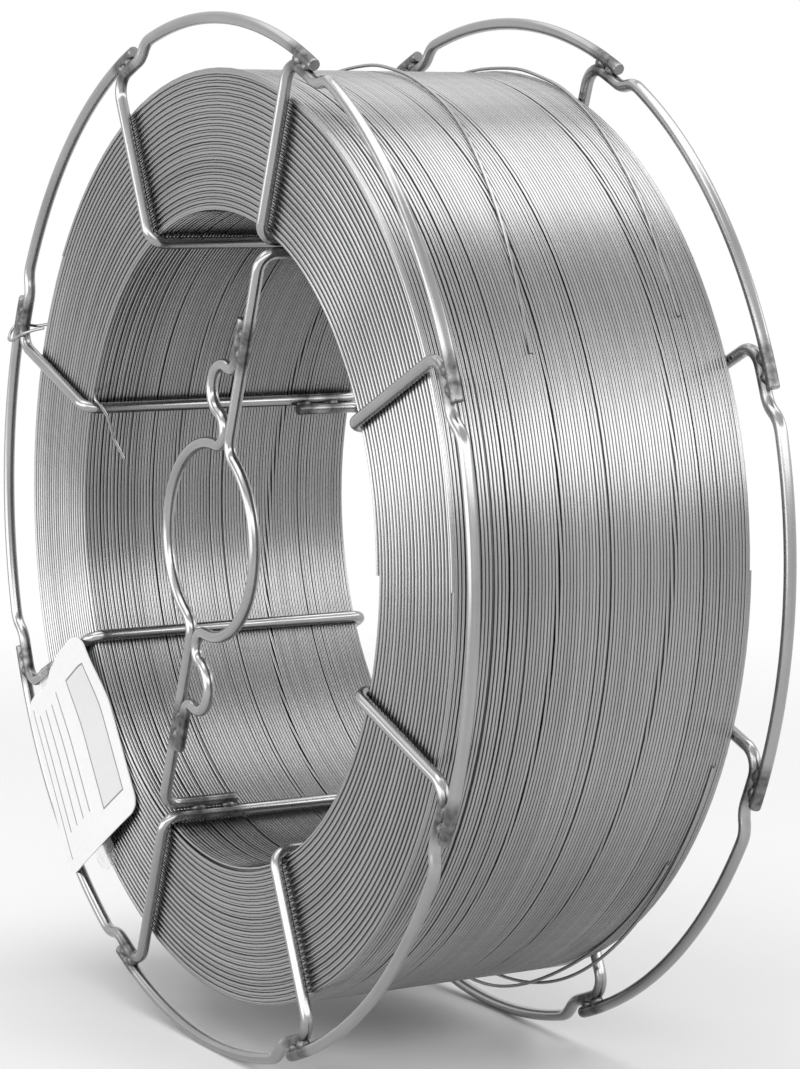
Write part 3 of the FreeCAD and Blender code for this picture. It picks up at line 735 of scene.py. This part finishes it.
border_rule = maths(nodes, "MULTIPLY", within(across, 0.92, 0.931), within(down, 0.05, 0.93))
line_place = maths(nodes, "FRACT", maths(nodes, "MULTIPLY", across, 10.0))
form_lines = maths(nodes, "MULTIPLY", within(line_place, 0.42, 0.54), within(across, 0.46, 0.88))
form_lines = maths(nodes, "MULTIPLY", form_lines, within(down, 0.12, 0.8))
box_outer = maths(nodes, "MULTIPLY", within(across, 0.1, 0.38), within(down, 0.14, 0.86))
box_inner = maths(nodes, "MULTIPLY", within(across, 0.112, 0.368), within(down, 0.15, 0.85))
blank_box = maths(nodes, "SUBTRACT", box_outer, maths(nodes, "MULTIPLY", box_inner, 0.8))
printed = maths(nodes, "MAXIMUM", maths(nodes, "MAXIMUM", border_rule, form_lines), blank_box)
place = add(nodes, "ShaderNodeTexCoord")["Object"]
fibre = add(nodes, "ShaderNodeTexNoise", Vector=place, Scale=900.0, Detail=4.0)["Fac"]
paper = spread(nodes, fibre, 0.3, 0.7, 0.7, 0.74)
left_white = maths(nodes, "SUBTRACT", 1.0, maths(nodes, "MULTIPLY", printed, 0.72))
tone = maths(nodes, "MULTIPLY", paper, left_white)
nodes.links.new(grey(nodes, tone), shader.inputs["Base Color"])
nodes.links.new(spread(nodes, fibre, 0.3, 0.7, 0.42, 0.55), shader.inputs["Roughness"])
bump = add(nodes, "ShaderNodeBump", Strength=0.08, Distance=0.0001, Height=fibre)["Normal"]
nodes.links.new(bump, shader.inputs["Normal"])

rows = [[card_point(step / card_steps, row / card_rows) for step in range(card_steps + 1)]
        for row in range(card_rows + 1)]
inwards = [Vector((0, card_thick, 0))] * (len(rows) * len(rows[0]))
piece = thin_sheet("hanging_card", rows, inwards, card_paper)
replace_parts(piece, "label_tag")

clear_film = bpy.data.materials.new("clear_sleeve_film")
clear_film.use_nodes = True
nodes = clear_film.node_tree
shader = nodes.nodes["Principled BSDF"]
shader.inputs["Base Color"].default_value = (0.95, 0.95, 0.95, 1)
shader.inputs["Transmission Weight"].default_value = 1.0
shader.inputs["IOR"].default_value = 1.3
place = add(nodes, "ShaderNodeTexCoord")["Object"]
crease = add(nodes, "ShaderNodeTexNoise", Vector=place, Scale=260.0, Detail=2.0)["Fac"]
nodes.links.new(spread(nodes, crease, 0.3, 0.7, 0.04, 0.22), shader.inputs["Roughness"])
bump = add(nodes, "ShaderNodeBump", Strength=0.5, Distance=0.0006, Height=crease)["Normal"]
nodes.links.new(bump, shader.inputs["Normal"])

film, strap_radius = 0.15 * mm, wire_radius + 0.15 * mm
strap_back, tab_back = card_front + card_thick + 0.02 * mm, card_thick + 0.05 * mm
strap_from, strap_step, strap_rows = 125.5 * mm, 1.5 * mm, 6
section = [(-9 * mm, strap_back), (-5 * mm, strap_back)]
section += [(x, y - flange_plane) for x, y in arc((0, 0), strap_radius, -100, 100, 12)]
section += [(-4 * mm, strap_radius - flange_plane - 0.2 * mm),
            (-8 * mm, strap_radius - flange_plane - 0.5 * mm)]
strap = [[spoke_point(x, y, strap_from + strap_step * row) for x, y in section]
         for row in range(strap_rows)]
along_spoke = Vector(spoke_point(0, 0, 1))
inwards = []
for row in strap:
    for step in range(len(row)):
        before, after = Vector(row[max(0, step - 1)]), Vector(row[min(len(row) - 1, step + 1)])
        inwards.append((after - before).cross(along_spoke).normalized() * film)
thin_sheet("sleeve_strap", strap, inwards, clear_film)

tab_middle, tab_half, tab_from, tab_reach = 0.52, 0.115, 0.9, 0.225
tab_rows, tab_steps, round_from, round_over = 8, 8, 5, 3.4
tab_lean = 0.12
away = Vector(spoke_point(-math.cos(card_lean), tab_lean, -math.sin(card_lean)))
tab = []
for row in range(tab_rows + 1):
    long = tab_from + tab_reach * row / tab_rows
    half = tab_half * math.sqrt(1 - (max(0, row - round_from) / round_over) ** 2)
    shift = away * max(0.0, long - 1.0) * card_long
    tab.append([Vector(card_point(tab_middle + half * (2 * step / tab_steps - 1), min(long, 1.0),
                                  tab_back)) + shift for step in range(tab_steps + 1)])
thin_sheet("sleeve_tab", tab, [Vector((0, film, 0))] * (len(tab) * len(tab[0])), clear_film)

# The room and the camera
# A pale floor, soft light from a white room and soft boxes, and the camera as far off and as high
# as the photograph's.
room_light, room_seen = 0.3, 1.0
white_room = bpy.data.worlds.new("White room")
white_room.use_nodes = True
nodes = white_room.node_tree
nodes.nodes.clear()
path = add(nodes, "ShaderNodeLightPath")
seen = maths(nodes, "MAXIMUM", path["Is Camera Ray"], path["Is Glossy Ray"])
seen = maths(nodes, "MAXIMUM", seen, path["Is Transmission Ray"])
lit = add(nodes, "ShaderNodeBackground", Color=(1, 1, 1, 1), Strength=room_light)["Background"]
shown = add(nodes, "ShaderNodeBackground", Color=(1, 1, 1, 1), Strength=room_seen)["Background"]
mix = nodes.nodes.new("ShaderNodeMixShader")
nodes.links.new(seen, mix.inputs[0])
nodes.links.new(lit, mix.inputs[1])
nodes.links.new(shown, mix.inputs[2])
out = nodes.nodes.new("ShaderNodeOutputWorld")
nodes.links.new(mix.outputs[0], out.inputs["Surface"])
bpy.context.scene.world = white_room

floor_reach, clear_to, gone_from = 1.0, 0.35, 0.9
corners = [(-floor_reach, -floor_reach, 0), (floor_reach, -floor_reach, 0),
           (floor_reach, floor_reach, 0), (-floor_reach, floor_reach, 0)]
floor_mesh = bpy.data.meshes.new("floor")
floor_mesh.from_pydata(corners, [], [(0, 1, 2, 3)])
floor_mesh.transform(Matrix.Translation((0, 0, cad_box[0][2])))
floor = bpy.data.objects.new("floor", floor_mesh)
bpy.context.scene.collection.objects.link(floor)
pale_floor = bpy.data.materials.new("pale_floor")
pale_floor.use_nodes = True
nodes = pale_floor.node_tree
nodes.nodes.clear()
place = add(nodes, "ShaderNodeTexCoord")["Object"]
length = nodes.nodes.new("ShaderNodeVectorMath")
length.operation = "LENGTH"
nodes.links.new(place, length.inputs[0])
fade = add(nodes, "ShaderNodeMapRange", {"interpolation_type": "SMOOTHSTEP"}, Value=length.outputs["Value"],
           From_Min=clear_to, From_Max=gone_from, To_Min=0.0, To_Max=1.0)["Result"]
matt = add(nodes, "ShaderNodeBsdfDiffuse", Color=(0.9, 0.9, 0.9, 1))["BSDF"]
clear = add(nodes, "ShaderNodeBsdfTransparent")["BSDF"]
mix = nodes.nodes.new("ShaderNodeMixShader")
nodes.links.new(fade, mix.inputs[0])
nodes.links.new(matt, mix.inputs[1])
nodes.links.new(clear, mix.inputs[2])
out = nodes.nodes.new("ShaderNodeOutputMaterial")
nodes.links.new(mix.outputs[0], out.inputs["Surface"])
floor_mesh.materials.append(pale_floor)


def soft_box(name, azimuth, elevation, distance, width, height, radiance):
    """A soft box that faces the spool from a direction given as the camera's is."""
    a, e = math.radians(azimuth), math.radians(elevation)
    back = Vector((math.sin(a) * math.cos(e), -math.cos(a) * math.cos(e), math.sin(e)))
    data = bpy.data.lights.new(name, "AREA")
    data.shape = "RECTANGLE"
    data.size = width
    data.size_y = height
    data.energy = radiance * math.pi * width * height
    lamp = bpy.data.objects.new(name, data)
    lamp.location = back * distance
    lamp.rotation_euler = (-back).to_track_quat("-Z", "Y").to_euler()
    bpy.context.scene.collection.objects.link(lamp)


soft_box("top_box", azimuth=-90, elevation=88, distance=1.3, width=2.6, height=0.7, radiance=2.4)
soft_box("back_box", azimuth=-78, elevation=55, distance=1.4, width=1.6, height=0.45, radiance=0.9)
for number, azimuth in enumerate((35, 90, 145), start=1):
    soft_box(f"side_box_{number}", azimuth, elevation=22, distance=1.4, width=1.46, height=0.5,
             radiance=2.3)
soft_box("near_box", azimuth=-12, elevation=7, distance=1.3, width=1.6, height=0.7, radiance=2.5)

view_azimuth, view_elevation = 60.58, 6.54
view_distance = 0.97924
view_across, view_above = 0.012405, -0.001154
focal_pixels, image_height = 3329.14, 1069
a, e = math.radians(view_azimuth), math.radians(view_elevation)
back = Vector((math.sin(a) * math.cos(e), -math.cos(a) * math.cos(e), math.sin(e)))
right = Vector((math.cos(a), math.sin(a), 0))
up = back.cross(right)
camera = bpy.data.objects.new("camera", bpy.data.cameras.new("camera"))
camera.location = back * view_distance + right * view_across + up * view_above
camera.rotation_euler = (-back).to_track_quat("-Z", "Y").to_euler()
camera.data.sensor_width = 36
camera.data.lens = camera.data.sensor_width * focal_pixels / image_height
camera.data.clip_start = 0.01
bpy.context.scene.collection.objects.link(camera)
bpy.context.scene.camera = camera
bpy.context.scene.view_settings.view_transform = "Standard"
